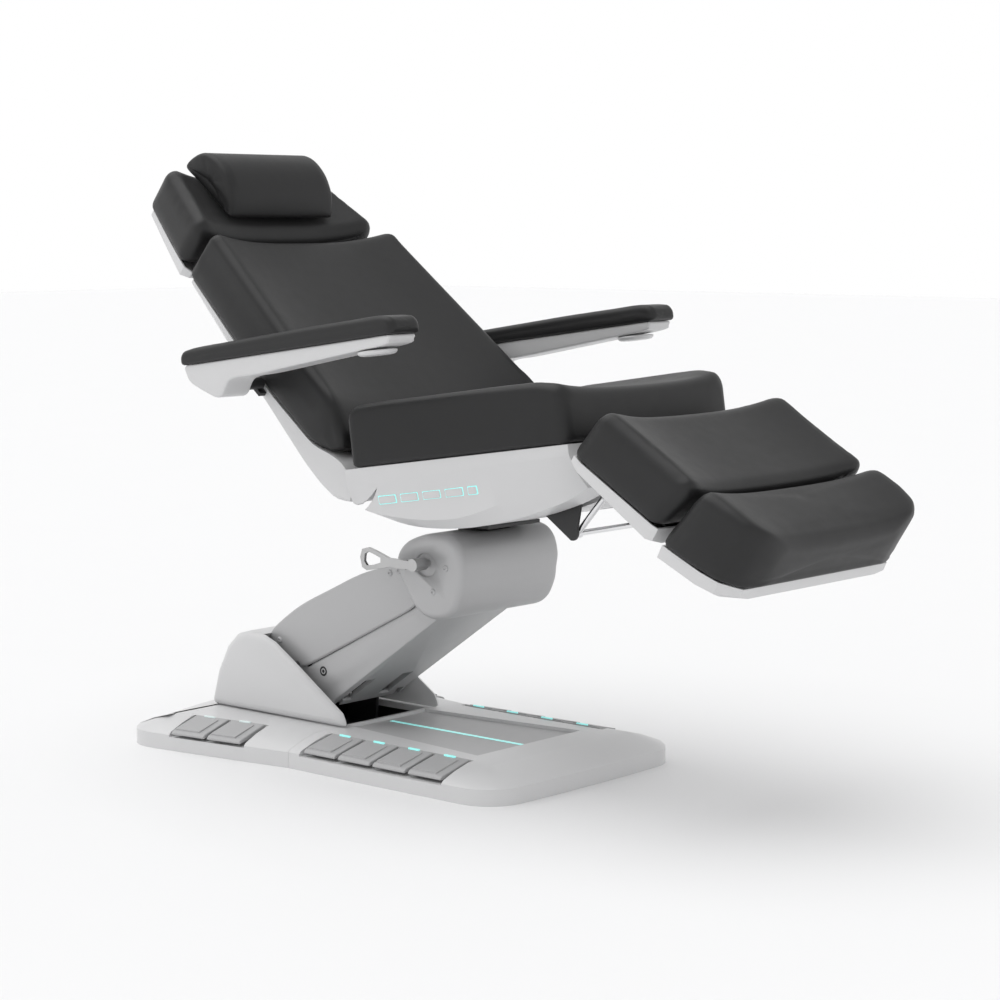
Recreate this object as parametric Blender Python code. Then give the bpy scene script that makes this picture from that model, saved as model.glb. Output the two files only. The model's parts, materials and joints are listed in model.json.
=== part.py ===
"""Electric facial treatment bed: base with foot pedals, parallelogram lift, and a jointed lying surface.

Frame: metres, +X to the foot end, +Z up, origin on the floor under the middle of the base.
Each empty sits on the axis of one joint; the pieces that turn about it are its children.
"""
import math

import bmesh
import bpy
from mathutils import Matrix, Vector

GAP = 0.0004            # between touching pieces
SEGMENTS = 20           # around a round piece

# Base
BASE_FOOT_X = 0.558     # foot edge at its corners
BASE_BOW = 0.005        # how far the foot edge bows out
BASE_HALF = 0.318       # half width of the straight front part
SEAM_X = -0.043         # joint between the two base covers
RIM_HEIGHT = 0.035      # vertical side of the covers
TOP_HEIGHT = 0.066      # flat top of the covers
CAVITY_HALF = 0.190
RECESS_X = 0.385        # foot end of the sunken panel
STRIP_X = (-0.030, 0.381)
PANEL_TOP = 0.0585
FRAME_THICK = 0.010
PEDAL_PITCH = 0.1036
FIRST_PEDAL_X = 0.046
PEDAL_WIDTH = 0.094
PEDAL_LENGTH = 0.092
PEDAL_SLOPE = math.radians(13)
REAR_PEDAL_X = (-0.335, -0.233)
FLARE = math.radians(8.2)        # rear side edges against the X axis

# Lift: two parallel links between the pedestal and the column head
LOWER_PIVOT = (-0.128, 0.178)    # x, z
LINK = (0.373, 0.222)            # from a rear pivot to its front pivot
PIVOT_STEP = (-0.060, 0.050)     # from a lower pivot to the upper one
LINK_HALF = 0.120
COVER_WALL = 0.005
PIN_RADIUS = 0.011
TOWER_PLATE = (0.092, 0.100)     # |y| of the plates that carry the links, inside the lower one

# Column head
HEAD_HALF = 0.165
SWIVEL_X = 0.235
SWIVEL_Z = 0.536
LEVER_AXIS = (0.230, 0.462)

# Seat and lying surface: angles above the horizontal, pivots in x, z
SEAT_TILT = math.radians(8.5)
TILT_PIVOT = (0.262, 0.585)
BACK_ANGLE = math.radians(40.2)
BACK_PIVOT = (0.163, 0.685)
HEAD_ANGLE = math.radians(38.0)
HEAD_PIVOT = (-0.387, 1.060)
LEG_ANGLE = math.radians(31.5)
LEG_PIVOT = (0.7355, 0.7066)
FOOT_ANGLE = math.radians(26.0)
FOOT_CORNER = (0.962, 0.590)
BRACKET_END = (0.615, 0.555)     # x, z of the lower pivot of the leg strut
STRUT_POINT = (-0.004, -0.081)   # its upper pivot, in the leg's own u, n
STRUT_Y = 0.120
STUB_LEVELS = (-0.0671, -0.0581)     # the flat bars that carry the arms, in the back's own height
BACK_KINK = -0.28                # where the underside of the back starts to rise toward the hinge
ARM_TILT = math.radians(8.0)
ARM_PIVOT = (-0.098, 0.843)
ARM_Y = 0.422
ARM_HALF = 0.043
BUTTON_COUNT = 5


def rgb(value, tint=0.0):
    return (value, value + tint, value + tint, 1.0)


FINISHES = {
    "white_plastic": (rgb(0.66), 0.42, 0.0),
    "grey_plastic": (rgb(0.42), 0.45, 0.0),
    "grey_metallic": (rgb(0.40), 0.42, 0.3),
    "charcoal_leather": (rgb(0.045), 0.5, 0.0),
    "black_steel": (rgb(0.02), 0.45, 0.6),
    "chrome": (rgb(0.75), 0.15, 1.0),
    "satin_steel": (rgb(0.5), 0.35, 1.0),
    "light_lens": ((0.35, 0.9, 0.86, 1.0), 0.3, 0.0),
    "black_rubber": (rgb(0.02), 0.8, 0.0),
}


def material(name, finish):
    colour, roughness, metallic = FINISHES[finish]
    mat = bpy.data.materials.new(name)
    mat.use_nodes = True
    shader = mat.node_tree.nodes["Principled BSDF"]
    shader.inputs["Base Color"].default_value = colour
    shader.inputs["Roughness"].default_value = roughness
    shader.inputs["Metallic"].default_value = metallic
    return mat


def axis_empty(name, x=0.0, y=0.0, z=0.0, tilt=0.0, yaw=0.0):
    """An empty on a joint axis; tilt lifts its +X side, yaw turns it about the vertical."""
    empty = bpy.data.objects.new(name, None)
    bpy.context.collection.objects.link(empty)
    empty.matrix_world = (Matrix.Translation((x, y, z)) @ Matrix.Rotation(yaw, 4, "Z")
                          @ Matrix.Rotation(-tilt, 4, "Y"))
    return empty


def place(name, mesh, finish, empty, world=False):
    """Make the object; world=True takes a mesh made in world metres into the empty's own frame."""
    if world:
        mesh.transform(empty.matrix_world.inverted())
    mesh.materials.append(material(name, finish))
    mesh.shade_smooth()
    mesh.set_sharp_from_angle(angle=math.radians(35))
    obj = bpy.data.objects.new(name, mesh)
    bpy.context.collection.objects.link(obj)
    obj.parent = empty
    return obj


def to_mesh(bm):
    bmesh.ops.recalc_face_normals(bm, faces=bm.faces)
    mesh = bpy.data.meshes.new("shape")
    bm.to_mesh(mesh)
    bm.free()
    return mesh


def loft(rings):
    """A closed solid through rings of equal length, with flat ends."""
    bm = bmesh.new()
    layers = [[bm.verts.new(point) for point in ring] for ring in rings]
    count = len(layers[0])
    for low, high in zip(layers, layers[1:]):
        for i in range(count):
            j = (i + 1) % count
            bm.faces.new((low[i], low[j], high[j], high[i]))
    bm.faces.new(layers[0][::-1])
    bm.faces.new(layers[-1])
    return to_mesh(bm)


def prism(outline, y_low, y_high, bevel=0.0):
    """An x, z outline extruded along Y, with its long edges chamfered at both ends."""
    mesh = loft([[(x, y, z) for x, z in outline] for y in (y_low, y_high)])
    return bevelled(mesh, bevel, min_angle=60) if bevel else mesh


def plate_at(outline, side, inner, outer):
    """A flat x, z plate between two distances from the middle plane, on side -1 or 1."""
    return prism(outline, min(side * inner, side * outer), max(side * inner, side * outer))


def bevelled(mesh, width, segments=2, min_angle=30):
    bm = bmesh.new()
    bm.from_mesh(mesh)
    edges = [e for e in bm.edges if e.calc_face_angle(0.0) > math.radians(min_angle)]
    bmesh.ops.bevel(bm, geom=edges, offset=width, segments=segments, affect="EDGES", profile=0.5)
    bmesh.ops.remove_doubles(bm, verts=bm.verts, dist=1e-5)
    return to_mesh(bm)


def block(low, high, bevel=0.0, segments=2):
    bm = bmesh.new()
    bmesh.ops.create_cube(bm, size=1.0)
    low, high = Vector(low), Vector(high)
    for vert in bm.verts:
        vert.co = Vector(low[i] + (vert.co[i] + 0.5) * (high[i] - low[i]) for i in range(3))
    mesh = to_mesh(bm)
    return bevelled(mesh, bevel, segments) if bevel else mesh


def rod(start, end, radius, end_radius=None, segments=SEGMENTS):
    start, end = Vector(start), Vector(end)
    bm = bmesh.new()
    bmesh.ops.create_cone(bm, cap_ends=True, segments=segments, radius1=radius,
                          radius2=radius if end_radius is None else end_radius, depth=(end - start).length)
    turn = Vector((0, 0, 1)).rotation_difference(end - start).to_matrix().to_4x4()
    bm.transform(Matrix.Translation((start + end) / 2) @ turn)
    return to_mesh(bm)


def combine(mesh, others, operation):
    """Boolean of plain meshes: UNION joins the others on, DIFFERENCE cuts them away."""
    made = []
    base = bpy.data.objects.new("base", mesh)
    bpy.context.collection.objects.link(base)
    for other in others:
        tool = bpy.data.objects.new("tool", other)
        bpy.context.collection.objects.link(tool)
        made.append(tool)
        step = base.modifiers.new("step", "BOOLEAN")
        step.operation = operation
        step.solver = "EXACT"
        step.object = tool
    bpy.context.view_layer.update()
    graph = bpy.context.evaluated_depsgraph_get()
    result = bpy.data.meshes.new_from_object(base.evaluated_get(graph))
    for obj in [base] + made:
        bpy.data.objects.remove(obj)
    result.materials.clear()
    return result


def cut(mesh, *others):
    return combine(mesh, others, "DIFFERENCE")


def union(mesh, *others):
    return combine(mesh, others, "UNION")


def arc(centre, radius, start, end, steps):
    """Points on an arc in a plane, angles in degrees."""
    angles = [math.radians(start + (end - start) * i / steps) for i in range(steps + 1)]
    return [(centre[0] + radius * math.cos(a), centre[1] + radius * math.sin(a)) for a in angles]


def pad_ring(u, half, low, high, round_r, dip):
    """Cross-section of a cushion at u: flat below, rounded sides, a top that dips in the middle."""
    round_r = min(round_r, 0.45 * (high - low))
    side = [(half - round_r, low), (half - 0.3 * round_r, low + 0.3 * round_r), (half, low + round_r),
            (half, high - round_r), (half - 0.3 * round_r, high - 0.3 * round_r),
            (half - round_r, high), (0.66 * half, high - 0.75 * dip), (0.33 * half, high - 0.97 * dip)]
    right = [(u, y, n) for y, n in side]
    left = [(u, -y, n) for y, n in reversed(side)]
    return right + [(u, 0.0, high - dip)] + left


def cushion(stations, round_r, dip):
    """A pad lofted through stations of (u, half width, low, high)."""
    return loft([pad_ring(u, half, low, high, round_r, dip) for u, half, low, high in stations])


def tray(stations, wall, floor):
    """An open-topped shell lofted through stations of (u, top half, bottom half, low, high)."""
    def ring(u, top, bottom, low, high):
        chamfer = 0.25 * (high - low)
        return [(u, -bottom, low), (u, bottom, low), (u, top, low + chamfer), (u, top, high),
                (u, -top, high), (u, -top, low + chamfer)]
    outer = loft([ring(*s) for s in stations])
    first, last = stations[0][0], stations[-1][0]
    step = math.copysign(wall, last - first)
    inner = []
    for i, (u, top, bottom, low, high) in enumerate(stations):
        shift = step if i == 0 else -step if i == len(stations) - 1 else 0.0
        inner.append(ring(u + shift, top - wall, bottom - wall, low + floor, high + floor))
    return cut(outer, loft(inner))


# ---------------------------------------------------------------- base

def base_half_outline():
    """Half outline of the base, y >= 0, from the middle of the foot edge round to the rear edge."""
    corner = 0.09
    foot = [(BASE_FOOT_X + BASE_BOW, 0.0), (BASE_FOOT_X + 0.7 * BASE_BOW, 0.13)]
    foot += arc((BASE_FOOT_X - corner, BASE_HALF - corner), corner, 0, 90, 6)
    side = [(0.2, BASE_HALF), (SEAM_X, BASE_HALF - 0.004)]
    flare = [(-0.147, 0.331), (-0.289, 0.352), (-0.420, 0.370)]
    rear = arc((-0.450, 0.288), 0.084, 88, 150, 5)
    rear += [(-0.586 + 0.0008 * (y / 0.0313) ** 2, y) for y in (0.270, 0.216, 0.144, 0.072, 0.0)]
    return foot + side, flare + rear


def inset_outline(distance, front):
    """The front or rear cover's plan outline, moved in by a distance and cut at the seam."""
    front_half, rear_half = base_half_outline()
    half = front_half + rear_half
    full = half + [(x, -y) for x, y in reversed(half[1:-1])]
    count = len(full)
    moved = []
    for i, (x, y) in enumerate(full):
        ahead = Vector(full[(i + 1) % count])
        behind = Vector(full[i - 1])
        along = (ahead - behind).normalized()
        moved.append((x - distance * along.y, y + distance * along.x))
    seam = len(front_half) - 1
    seam_y = moved[seam][1]
    if front:
        line = [(SEAM_X + GAP / 2, -seam_y)] + moved[count - seam + 1:] + moved[:seam]
        return line + [(SEAM_X + GAP / 2, seam_y)]
    return [(SEAM_X - GAP / 2, seam_y)] + moved[seam + 1:count - seam] + [(SEAM_X - GAP / 2, -seam_y)]


def recess_outline(x_low, x_high, inset):
    """The sunken panel in the front cover, which widens toward the foot end."""
    def half(x):
        return 0.126 + 0.1075 * (x - SEAM_X) - inset
    return [(x_low, half(x_low)), (x_high - inset, half(x_high)), (x_high - inset, -half(x_high)),
            (x_low, -half(x_low))]


def base_cover(front):
    levels = [(0.0, 0.0), (0.0, RIM_HEIGHT), (0.006, 0.041), (0.045, 0.0555), (0.085, TOP_HEIGHT)]
    rings = [[(x, y, z) for x, y in inset_outline(d, front)] for d, z in levels]
    solid = loft(rings)
    if front:
        cavity = block((SEAM_X - 1, -CAVITY_HALF, -1), (0.46, CAVITY_HALF, TOP_HEIGHT - 0.014))
        outline = recess_outline(SEAM_X - 0.010, RECESS_X, 0.0)
        recess = loft([[(x, y, z) for x, y in outline] for z in (PANEL_TOP - 0.0045, 1.0)])
        notches = [pedal_notch(side * 0.213, FIRST_PEDAL_X - 0.055, FIRST_PEDAL_X + 3 * PEDAL_PITCH + 0.058,
                               side, 0.0) for side in (-1, 1)]
        return cut(solid, cavity, recess, *notches)
    cavity = block((-0.50, -CAVITY_HALF, -1), (SEAM_X + 1, CAVITY_HALF, TOP_HEIGHT - 0.014))
    well = block((-0.30, -0.137, -1), (-0.052, 0.137, 1))
    middle = sum(REAR_PEDAL_X) / 2
    notches = [rear_notch(middle, side) for side in (-1, 1)]
    return cut(solid, cavity, well, *notches)


def pedal_notch(y_inner, x_low, x_high, side, turn):
    """Open-ended pocket for a row of pedals, turned in plan about its inner edge."""
    pocket = block((x_low, 0, 0.031), (x_high, 0.2, 1))
    if side < 0:
        pocket.transform(Matrix.Scale(-1, 4, (0, 1, 0)))
        pocket.flip_normals()
    pocket.transform(Matrix.Rotation(turn, 4, "Z"))
    pocket.transform(Matrix.Translation((0, y_inner, 0)))
    return pocket


def rear_hinge_point(x, side):
    """Inner end of a rear pedal on its own hinge line."""
    return x, side * (0.262 - (x - sum(REAR_PEDAL_X) / 2) * math.tan(FLARE))


def rear_notch(x, side):
    centre_x, centre_y = rear_hinge_point(x, side)
    pocket = pedal_notch(0.0, -0.108, 0.108, side, 0.0)
    pocket.transform(Matrix.Translation((centre_x, centre_y - side * 0.004, 0))
                     @ Matrix.Rotation(-side * FLARE, 4, "Z"))
    return pocket


def pedal(name, x, y, side, turn):
    """A foot pedal, hinged along its inner edge, sloping down outward, with a raised tread."""
    hinge_z = 0.064
    empty = axis_empty(name + "_axis", x, y, hinge_z, yaw=turn)
    half = PEDAL_WIDTH / 2
    drop = PEDAL_LENGTH * math.tan(PEDAL_SLOPE)
    top = [(0.0, 0.004), (PEDAL_LENGTH - 0.006, 0.004 - drop), (PEDAL_LENGTH, -0.002 - drop)]
    bottom = [(PEDAL_LENGTH - 0.002, -0.0055 - drop), (0.0, -0.014)]
    profile = top + bottom
    body = loft([[(u, side * v, w) for v, w in profile] for u in (-half, half)])
    tread_low, tread_high = 0.014, PEDAL_LENGTH - 0.010
    slope = drop / PEDAL_LENGTH
    tread = [(tread_low, 0.001 - slope * tread_low), (tread_high, 0.001 - slope * tread_high),
             (tread_high, 0.0058 - slope * tread_high), (tread_low, 0.0058 - slope * tread_low)]
    plate = loft([[(u, side * v, w) for v, w in tread] for u in (-half + 0.005, half - 0.020)])
    return place(name, union(bevelled(body, 0.0015, 1), plate), "grey_plastic", empty)


def base_frame():
    """Steel base plate with an upstand at each end of the well."""
    plate = block((-0.495, -0.182, 0.0), (0.45, 0.182, FRAME_THICK), 0.002, 1)
    rails = [block((-0.47, s * 0.165 - 0.012, FRAME_THICK - 0.004), (0.43, s * 0.165 + 0.012, 0.048))
             for s in (-1, 1)]
    return union(plate, *rails)


def pivot_tower():
    """Two plates inside the lower link, on one foot, with stub pins that carry both links."""
    lower, _, upper, _ = lift_points()
    pieces = [block((-0.270, -0.104, FRAME_THICK + GAP), (-0.160, 0.104, 0.022))]
    shape = [(-0.265, 0.020), (-0.170, 0.020), (-0.165, 0.100)]
    shape += arc(lower, 0.016, -40, 50, 3) + arc(upper, 0.018, 60, 190, 5)
    for side in (-1, 1):
        pieces.append(plate_at(shape, side, *TOWER_PLATE))
        pieces.append(rod((lower.x, side * 0.098, lower.y), (lower.x, side * LINK_HALF, lower.y), PIN_RADIUS))
        pieces.append(rod((upper.x, side * 0.098, upper.y), (upper.x, side * 0.1265, upper.y), PIN_RADIUS))
    return union(*pieces)


def pedestal_cover():
    """Hooded shell round the rear of the links, open below and along its sloping front."""
    side = [(-0.462, TOP_HEIGHT + GAP), (-0.438, 0.150), (-0.405, 0.212), (-0.372, 0.243), (-0.335, 0.253),
            (-0.285, 0.249), (-0.250, 0.236), (-0.188, 0.198), (-0.035, 0.098), (-0.018, TOP_HEIGHT + GAP)]
    outer = prism(side, -0.165, 0.165)
    outer = bevelled(outer, 0.018, 3, min_angle=70)
    inner = [(-0.440, -0.1), (-0.420, 0.150), (-0.392, 0.202), (-0.366, 0.229), (-0.335, 0.239),
             (-0.302, 0.237), (-0.20, 0.33), (0.15, 0.33), (0.15, -0.1)]
    hollow = prism(inner, -0.150, 0.150)
    trim = block((-1, -1, -1), (1, 1, TOP_HEIGHT + GAP))
    return cut(outer, hollow, trim)


def build_base():
    base = axis_empty("base_origin")
    place("base_cover_front", base_cover(True), "white_plastic", base)
    place("base_cover_rear", base_cover(False), "white_plastic", base)
    place("base_frame", base_frame(), "black_steel", base)
    place("pivot_tower", pivot_tower(), "black_steel", base)
    place("pedestal_cover", pedestal_cover(), "white_plastic", base)
    outline = recess_outline(SEAM_X + GAP, RECESS_X, 0.0007)
    panel = loft([[(x, y, z) for x, y in outline] for z in (PANEL_TOP - 0.004, PANEL_TOP)])
    groove = block((STRIP_X[0] - GAP, -0.0055, PANEL_TOP - 0.0025), (STRIP_X[1] + GAP, 0.0055, 1))
    place("recess_panel", cut(panel, groove), "grey_plastic", base)
    strip = block((STRIP_X[0], -0.005, PANEL_TOP - 0.0021), (STRIP_X[1], 0.005, PANEL_TOP + 0.0006))
    place("light_strip", strip, "light_lens", base)
    for side, word in ((-1, "near"), (1, "far")):
        for i in range(4):
            pedal(f"pedal_{word}_{i + 1}", FIRST_PEDAL_X + i * PEDAL_PITCH, side * 0.217, side, 0.0)
        for i, x in enumerate(REAR_PEDAL_X):
            hinge_x, hinge_y = rear_hinge_point(x, side)
            pedal(f"pedal_{word}_rear_{i + 1}", hinge_x, hinge_y, side, -side * FLARE)


# ---------------------------------------------------------------- lift and column head

def lift_points():
    low_rear = Vector(LOWER_PIVOT)
    step = Vector(PIVOT_STEP)
    link = Vector(LINK)
    return low_rear, low_rear + link, low_rear + step, low_rear + step + link


def lower_link_outline():
    rear, front, _, _ = lift_points()
    return ([(-0.212, 0.178), (-0.206, 0.193), (-0.176, 0.186), (0.150, 0.352)]
            + arc(front, 0.040, 95, -60, 6) + [(0.222, 0.332), (-0.086, 0.120), (-0.110, 0.098), (-0.160, 0.104)])


def lower_link():
    """Lower link: a closed box beam, open at its tail, with two slots in its front face."""
    rear, front, _, _ = lift_points()
    outer = bevelled(prism(lower_link_outline(), -LINK_HALF, LINK_HALF), 0.006, 2, min_angle=75)
    inner = [(-0.300, 0.080), (-0.198, 0.176), (-0.170, 0.176), (0.155, 0.342), (0.215, 0.352),
             (0.206, 0.332), (-0.090, 0.130), (-0.128, 0.080)]
    hollow = prism(inner, -LINK_HALF + 0.008, LINK_HALF - 0.008)
    slots = []
    for y in (-0.078, 0.045):
        slot = block((-0.022, y - 0.017, -0.03), (0.075, y + 0.017, 0.03))
        slot.transform(Matrix.Translation((-0.078, 0, 0.118)) @ Matrix.Rotation(-math.radians(34.5), 4, "Y"))
        slots.append(slot)
    tower_ways = [block((-0.30, s * 0.096 - 0.010, z), (x, s * 0.096 + 0.010, 0.35))
                  for s in (-1, 1) for x, z in ((-0.08, 0.15), (-0.092, 0.0))]
    tower_ways += [block((-0.30, s * 0.1024 - 0.0164, 0.14), (-0.165, s * 0.1024 + 0.0164, 0.35)) for s in (-1, 1)]
    bores = [rod((x, -1, z), (x, 1, z), PIN_RADIUS + GAP) for x, z in (rear, front)]
    return cut(outer, hollow, *slots, *tower_ways, *bores)


def upper_link():
    """Upper link: a hood over the lower one, with side walls that hang outside it."""
    _, _, rear, front = lift_points()
    top = [(-0.268, 0.247), (-0.246, 0.277), (-0.183, 0.322), (-0.088, 0.369), (0.005, 0.411), (0.095, 0.443)]
    low = [(0.157, 0.352), (-0.172, 0.189), (-0.200, 0.197), (-0.222, 0.186)]
    side = top + arc(front, 0.024, 110, -70, 5) + low
    half = LINK_HALF + COVER_WALL + 0.001
    outer = bevelled(prism(side, -half, half), 0.005, 2, min_angle=75)
    inner = [(-0.30, 0.230), (-0.262, 0.239), (-0.240, 0.270), (-0.180, 0.315), (-0.086, 0.362), (0.007, 0.404),
             (0.093, 0.435), (0.30, 0.47), (0.30, 0.10), (-0.30, 0.10)]
    hollow = prism(inner, -LINK_HALF - 0.001, LINK_HALF + 0.001)
    bores = [rod((x, -1, z), (x, 1, z), PIN_RADIUS + GAP) for x, z in (rear, front)]
    return cut(outer, hollow, *bores)


def head_outline():
    return [(0.139, 0.470), (0.158, 0.497), (0.190, 0.514), (0.235, 0.526), (0.290, 0.527), (0.322, 0.505),
            (0.335, 0.465), (0.326, 0.400), (0.306, 0.362), (0.272, 0.343), (0.225, 0.342), (0.188, 0.364),
            (0.156, 0.412)]


def head_casing():
    outline = head_outline()
    outer = bevelled(prism(outline, -HEAD_HALF, HEAD_HALF), 0.016, 3, min_angle=75)
    centre = Vector((0.240, 0.437))
    inner = [centre + (Vector(p) - centre) * 0.93 for p in outline]
    hollow = prism([tuple(p) for p in inner], -HEAD_HALF + 0.008, HEAD_HALF - 0.008)
    mouth = block((0.0, -0.145, 0.0), (0.262, 0.145, 0.478))
    post = rod((SWIVEL_X, 0, 0.4), (SWIVEL_X, 0, 0.6), 0.052)
    window = rod((LEVER_AXIS[0], -0.2, LEVER_AXIS[1]), (LEVER_AXIS[0], -0.1, LEVER_AXIS[1]), 0.017)
    return cut(outer, hollow, mouth, post, window)


def head_bracket():
    """Steel yoke inside the casing: pins for the links and the seat of the swivel bearing."""
    _, low, _, up = lift_points()
    top = block((0.190, -0.142, 0.480), (0.294, 0.142, 0.4885))
    shape = [(0.192, 0.484), (0.292, 0.484), (0.292, 0.420)] + arc(low, 0.028, -10, -110, 4)
    shape += arc(up, 0.026, -150, -230, 4)
    pieces = [rod((SWIVEL_X, 0, 0.484), (SWIVEL_X, 0, 0.5285), 0.044)]
    for side in (-1, 1):
        inner, outer = side * 0.1285, side * 0.1365
        pieces.append(prism(shape, min(inner, outer), max(inner, outer)))
        for x, z in (low, up):
            pieces.append(rod((x, side * 0.110, z), (x, side * 0.132, z), PIN_RADIUS))
    return union(top, *pieces)


def lock_lever():
    """Swivel lock: a handle with a loop at its end, on a cross shaft that enters the head."""
    axis_x, axis_z = LEVER_AXIS
    y_low, y_high = -0.203, -0.196
    handle = [(0.206, 0.470), (0.158, 0.471), (0.120, 0.483), (0.096, 0.489), (0.078, 0.484), (0.072, 0.466),
              (0.078, 0.444), (0.092, 0.438), (0.122, 0.444), (0.158, 0.452), (0.206, 0.450)]
    loop = [(0.133, 0.469), (0.112, 0.476), (0.096, 0.480), (0.086, 0.474), (0.084, 0.458), (0.092, 0.449),
            (0.112, 0.452), (0.133, 0.459)]
    arm = cut(prism(handle, y_low, y_high), prism(loop, y_low - 1, y_high + 1))
    hub = rod((axis_x, -0.207, axis_z), (axis_x, -0.170, axis_z), 0.014)
    fork = block((0.198, -0.206, 0.452), (0.226, -0.193, 0.470))
    shaft = rod((axis_x, -0.172, axis_z), (axis_x, -0.140, axis_z), 0.009)
    return union(arm, fork, hub, shaft)


def build_lift():
    low_rear, low_front, up_rear, up_front = lift_points()
    place("lower_link", lower_link(), "grey_metallic", axis_empty("lower_link_axis", low_rear.x, 0, low_rear.y), True)
    motor = union(rod((-0.100, 0.0, 0.178), (0.060, 0.0, 0.266), 0.020),
                  rod((0.050, 0.0, 0.2605), (0.135, 0.0, 0.3075), 0.010))
    place("lift_actuator", motor, "satin_steel", bpy.data.objects["lower_link_axis"], True)
    place("upper_link", upper_link(), "grey_metallic", axis_empty("upper_link_axis", up_rear.x, 0, up_rear.y), True)
    head = axis_empty("head_axis", low_front.x, 0, low_front.y)
    place("head_casing", head_casing(), "grey_metallic", head, True)
    place("head_bracket", head_bracket(), "black_steel", head, True)
    lever = axis_empty("lock_lever_axis", LEVER_AXIS[0], -0.2, LEVER_AXIS[1])
    place("lock_lever", lock_lever(), "satin_steel", lever, True)
    swivel = axis_empty("swivel_axis", SWIVEL_X, 0, SWIVEL_Z)
    place("turntable", turntable(), "black_steel", swivel, True)


def turntable():
    """Turning plate on the bearing, with two lugs that hold the tilt pin."""
    plate = rod((SWIVEL_X, 0, 0.5292), (SWIVEL_X, 0, 0.5385), 0.062)
    deck = block((0.170, -0.085, 0.5365), (0.340, 0.085, 0.5445))
    lug = [(0.232, 0.540), (0.292, 0.540)] + arc(TILT_PIVOT, 0.016, -10, 190, 6)
    pieces = [prism(lug, min(s * 0.070, s * 0.080), max(s * 0.070, s * 0.080)) for s in (-1, 1)]
    pin = rod((TILT_PIVOT[0], -0.097, TILT_PIVOT[1]), (TILT_PIVOT[0], 0.097, TILT_PIVOT[1]), 0.009)
    return union(plate, deck, *pieces, pin)


# ---------------------------------------------------------------- lying surface

def seat_half(u):
    """Half width of the seat, wide at the hips and narrow at the knees."""
    front = max(0.0, u - 0.40)
    return 0.371 - 0.178 * (u + 0.05) - 1.0 * front * front


def build_seat():
    seat = axis_empty("seat_axis", TILT_PIVOT[0], 0, TILT_PIVOT[1], SEAT_TILT)
    drop = 0.0247                                    # the tilt pin above the reference line of the seat
    low, high = 0.126 - drop, 0.2627 - drop
    stations = [(-0.045, seat_half(-0.045) - 0.012, low + 0.010, high - 0.014)]
    for u, fall in ((-0.032, 0.0), (0.10, 0.0), (0.25, 0.0), (0.37, 0.0), (0.41, 0.0), (0.44, 0.005), (0.458, 0.016)):
        stations.append((u, seat_half(u), low, high - fall))
    stations.append((0.470, seat_half(0.470) - 0.014, low + 0.010, high - 0.040))
    place("seat_cushion", cushion(stations, 0.020, 0.022), "charcoal_leather", seat)
    rim = low - GAP
    hull = [(-0.040, 0.000, 0.350, 0.082), (0.031, -0.012, 0.295, 0.018), (0.116, 0.0, 0.262, -0.012),
            (0.291, 0.0, 0.228, -0.018), (0.400, 0.0, 0.222, 0.012), (0.462, -0.004, 0.205, 0.040)]
    rings = []
    for u, trim, bottom, floor in hull:
        top = seat_half(u) - 0.006 + trim * 0.2
        edge = max(rim - 0.038, floor + 0.002)
        rings.append([(u, -bottom, floor - drop), (u, bottom, floor - drop), (u, top, edge), (u, top, rim),
                      (u, -top, rim), (u, -top, edge)])
    outer = loft(rings)
    hollow = block((-0.020, -0.205, 0.004), (0.4325, 0.205, rim + 0.1))
    throat = block((-0.075, -0.110, -0.2), (0.135, 0.110, rim + 0.1))
    front_ways = [block((0.4, s * 0.1365 - 0.029, 0.02), (0.6, s * 0.1365 + 0.029, 1)) for s in (-1, 1)]
    bracket_ways = [block((0.220, s * 0.1225 - 0.0225, -1), (1, s * 0.1225 + 0.0225, 0.5)) for s in (-1, 1)]
    slots = [loft_box(*button_box(i, 0.0012)) for i in range(BUTTON_COUNT)]
    place("seat_shell", cut(outer, hollow, throat, *bracket_ways, *front_ways, *slots), "white_plastic", seat)
    place("seat_frame", seat_frame(rim), "black_steel", seat)
    for i in range(BUTTON_COUNT):
        empty = axis_empty(f"seat_button_{i + 1}_axis")
        empty.matrix_world = seat.matrix_world.copy()
        place(f"seat_button_{i + 1}", loft_box(*button_box(i, 0.0)), "white_plastic", empty)


def button_box(i, slack):
    """Corners of one push button in the seat's side; the last one is smaller."""
    width = 0.043 if i < BUTTON_COUNT - 1 else 0.022
    u = 0.006 + i * 0.053
    return u - slack, u + width + slack, 0.019 - slack, 0.036 + slack, slack


def loft_box(u_low, u_high, n_low, n_high, slack):
    """A button or its slot: a box that follows the seat's sloping side face."""
    def face_y(u, n):
        along = (0.026 + n - 0.019)
        return -(seat_half(u) - 0.020 - 0.10 * (0.060 - along))
    rings = []
    for u in (u_low, u_high):
        outer_low, outer_high = face_y(u, n_low) - 0.012, face_y(u, n_high) - 0.012
        depth = 0.5 if slack else 0.0
        inner = -0.250 + 2 * slack
        rings.append([(u, outer_low - depth, n_low), (u, outer_high - depth, n_high), (u, inner, n_high),
                      (u, inner, n_low)])
    return loft(rings)


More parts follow.
